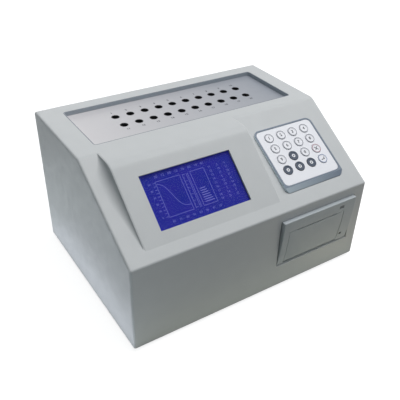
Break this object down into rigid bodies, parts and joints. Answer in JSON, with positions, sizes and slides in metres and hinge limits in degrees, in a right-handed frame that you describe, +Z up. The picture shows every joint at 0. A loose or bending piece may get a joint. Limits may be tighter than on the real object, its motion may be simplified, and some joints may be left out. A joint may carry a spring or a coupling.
{
  "type": "erythrocyte sedimentation rate analyzer",
  "caption": "Bench analyzer with a sloped console, raised display, keypad, strip printer and a sunk panel of sample tube holes over a scanning carriage.",
  "frame": {"origin": "under the middle of the instrument, on the surface that its feet stand on", "axes": "+X to the user's right, +Y to the back, +Z up"},
  "size_m": [0.32, 0.246, 0.1825],
  "materials": {
    "housing_grey": "fine grain",
    "panel_grey": "satin",
    "printer_grey": "fine grain",
    "keypad_blue_grey": "satin",
    "overlay_white": "satin film",
    "key_white": "satin",
    "key_slate": "satin",
    "display_glass": "clear, tinted",
    "display_blue": "lit display",
    "circuit_board": "solder mask",
    "black_plastic": "satin",
    "black_rubber": "matte",
    "bright_steel": "ground",
    "zinc_sheet": "zinc plated",
    "aluminium": "turned",
    "brass": "turned",
    "paper": "uncoated",
    "switch_white": "satin"
  },
  "bodies": {
    "instrument": {"upper_housing": "housing_grey", "sample_panel": "panel_grey", "deck_front": "black_plastic", "deck_middle": "black_plastic", "deck_rear": "black_plastic", "rack_table": "black_plastic", "rack_front": "black_plastic", "rack_middle": "black_plastic", "rack_rear": "black_plastic", "base_plate": "zinc_sheet", "rear_panel": "housing_grey", "foot_front_left": "black_rubber", "foot_front_right": "black_rubber", "foot_rear_left": "black_rubber", "foot_rear_right": "black_rubber", "lcd_window": "display_glass", "lcd_module": "display_blue", "keypad_base": "keypad_blue_grey", "keypad_overlay": "overlay_white", "keypad_board": "circuit_board", "guide_rod_left": "bright_steel", "guide_rod_right": "bright_steel", "stepper_motor": "black_plastic", "motor_bracket": "zinc_sheet", "printer_frame": "printer_grey", "door_hinge_pin": "bright_steel", "thermal_head": "black_plastic", "main_board": "circuit_board", "power_supply": "zinc_sheet", "power_inlet": "black_plastic", "switch_body": "black_plastic", "serial_port": "zinc_sheet"},
    "carriage": {"sensor_carriage": "black_plastic", "screw_nut": "brass", "sensor_board": "circuit_board"},
    "screw": {"lead_screw": "bright_steel", "shaft_coupling": "aluminium", "motor_shaft": "bright_steel"},
    "door": {"printer_door": "printer_grey"},
    "platen": {"platen_roller": "black_rubber"},
    "paper": {"paper_roll": "paper"},
    "latch": {"printer_latch": "printer_grey"},
    "feed": {"feed_button": "black_plastic"},
    "rocker": {"switch_rocker": "switch_white"},
    "key_1_cap": {"key_1": "key_white"},
    "key_2_cap": {"key_2": "key_white"},
    "key_3_cap": {"key_3": "key_white"},
    "key_4_cap": {"key_4": "key_white"},
    "key_5_cap": {"key_5": "key_white"},
    "key_6_cap": {"key_6": "key_white"},
    "key_7_cap": {"key_7": "key_white"},
    "key_8_cap": {"key_8": "key_white"},
    "key_9_cap": {"key_9": "key_white"},
    "key_0_cap": {"key_0": "key_white"},
    "key_cancel_cap": {"key_cancel": "key_white"},
    "key_enter_cap": {"key_enter": "key_white"},
    "key_up_cap": {"key_up": "key_slate"},
    "key_left_cap": {"key_left": "key_slate"},
    "key_down_cap": {"key_down": "key_slate"},
    "key_right_cap": {"key_right": "key_slate"}
  },
  "joints": [
    {"name": "screw_turn", "type": "hinge", "parent": "instrument", "child": "screw", "pos_m": [0.125, 0.0605, 0.05], "axis": [0, 0, 1], "range_deg": [0, 2700]},
    {"name": "carriage_lift", "type": "slide", "parent": "instrument", "child": "carriage", "axis": [0, 0, 1], "range_m": [0, 0.06]},
    {"name": "door_swing", "type": "hinge", "parent": "instrument", "child": "door", "pos_m": [0.082, -0.11534, 0.0409], "axis": [1, 0, 0], "range_deg": [0, 90]},
    {"name": "platen_spin", "type": "hinge", "parent": "door", "child": "platen", "pos_m": [0.082, -0.11517, 0.0821], "axis": [1, 0, 0], "continuous": true},
    {"name": "paper_spin", "type": "hinge", "parent": "instrument", "child": "paper", "pos_m": [0.082, -0.0933, 0.0595], "axis": [1, 0, 0], "continuous": true},
    {"name": "latch_push", "type": "slide", "parent": "instrument", "child": "latch", "axis": [0, 1, 0], "range_m": [0, 0.002], "stiffness_N_per_m": 500},
    {"name": "feed_push", "type": "slide", "parent": "instrument", "child": "feed", "axis": [0, 1, 0], "range_m": [0, 0.0008], "stiffness_N_per_m": 1200},
    {"name": "rocker_tip", "type": "hinge", "parent": "instrument", "child": "rocker", "pos_m": [-0.076, 0.1168, 0.048], "axis": [-1, 0, 0], "range_deg": [0, 20]},
    {"name": "key_1_push", "type": "slide", "parent": "instrument", "child": "key_1_cap", "axis": [0, 0.5023, -0.8647], "range_m": [0, 0.0005], "stiffness_N_per_m": 2500},
    {"name": "key_2_push", "type": "slide", "parent": "instrument", "child": "key_2_cap", "axis": [0, 0.5023, -0.8647], "range_m": [0, 0.0005], "stiffness_N_per_m": 2500},
    {"name": "key_3_push", "type": "slide", "parent": "instrument", "child": "key_3_cap", "axis": [0, 0.5023, -0.8647], "range_m": [0, 0.0005], "stiffness_N_per_m": 2500},
    {"name": "key_4_push", "type": "slide", "parent": "instrument", "child": "key_4_cap", "axis": [0, 0.5023, -0.8647], "range_m": [0, 0.0005], "stiffness_N_per_m": 2500},
    {"name": "key_5_push", "type": "slide", "parent": "instrument", "child": "key_5_cap", "axis": [0, 0.5023, -0.8647], "range_m": [0, 0.0005], "stiffness_N_per_m": 2500},
    {"name": "key_6_push", "type": "slide", "parent": "instrument", "child": "key_6_cap", "axis": [0, 0.5023, -0.8647], "range_m": [0, 0.0005], "stiffness_N_per_m": 2500},
    {"name": "key_7_push", "type": "slide", "parent": "instrument", "child": "key_7_cap", "axis": [0, 0.5023, -0.8647], "range_m": [0, 0.0005], "stiffness_N_per_m": 2500},
    {"name": "key_8_push", "type": "slide", "parent": "instrument", "child": "key_8_cap", "axis": [0, 0.5023, -0.8647], "range_m": [0, 0.0005], "stiffness_N_per_m": 2500},
    {"name": "key_9_push", "type": "slide", "parent": "instrument", "child": "key_9_cap", "axis": [0, 0.5023, -0.8647], "range_m": [0, 0.0005], "stiffness_N_per_m": 2500},
    {"name": "key_0_push", "type": "slide", "parent": "instrument", "child": "key_0_cap", "axis": [0, 0.5023, -0.8647], "range_m": [0, 0.0005], "stiffness_N_per_m": 2500},
    {"name": "key_cancel_push", "type": "slide", "parent": "instrument", "child": "key_cancel_cap", "axis": [0, 0.5023, -0.8647], "range_m": [0, 0.0005], "stiffness_N_per_m": 2500},
    {"name": "key_enter_push", "type": "slide", "parent": "instrument", "child": "key_enter_cap", "axis": [0, 0.5023, -0.8647], "range_m": [0, 0.0005], "stiffness_N_per_m": 2500},
    {"name": "key_up_push", "type": "slide", "parent": "instrument", "child": "key_up_cap", "axis": [0, 0.5023, -0.8647], "range_m": [0, 0.0005], "stiffness_N_per_m": 2500},
    {"name": "key_left_push", "type": "slide", "parent": "instrument", "child": "key_left_cap", "axis": [0, 0.5023, -0.8647], "range_m": [0, 0.0005], "stiffness_N_per_m": 2500},
    {"name": "key_down_push", "type": "slide", "parent": "instrument", "child": "key_down_cap", "axis": [0, 0.5023, -0.8647], "range_m": [0, 0.0005], "stiffness_N_per_m": 2500},
    {"name": "key_right_push", "type": "slide", "parent": "instrument", "child": "key_right_cap", "axis": [0, 0.5023, -0.8647], "range_m": [0, 0.0005], "stiffness_N_per_m": 2500}
  ],
  "couplings": [
    {"joint": "screw_turn", "follows": "carriage_lift", "rad_per_m": 785.39}
  ]
}
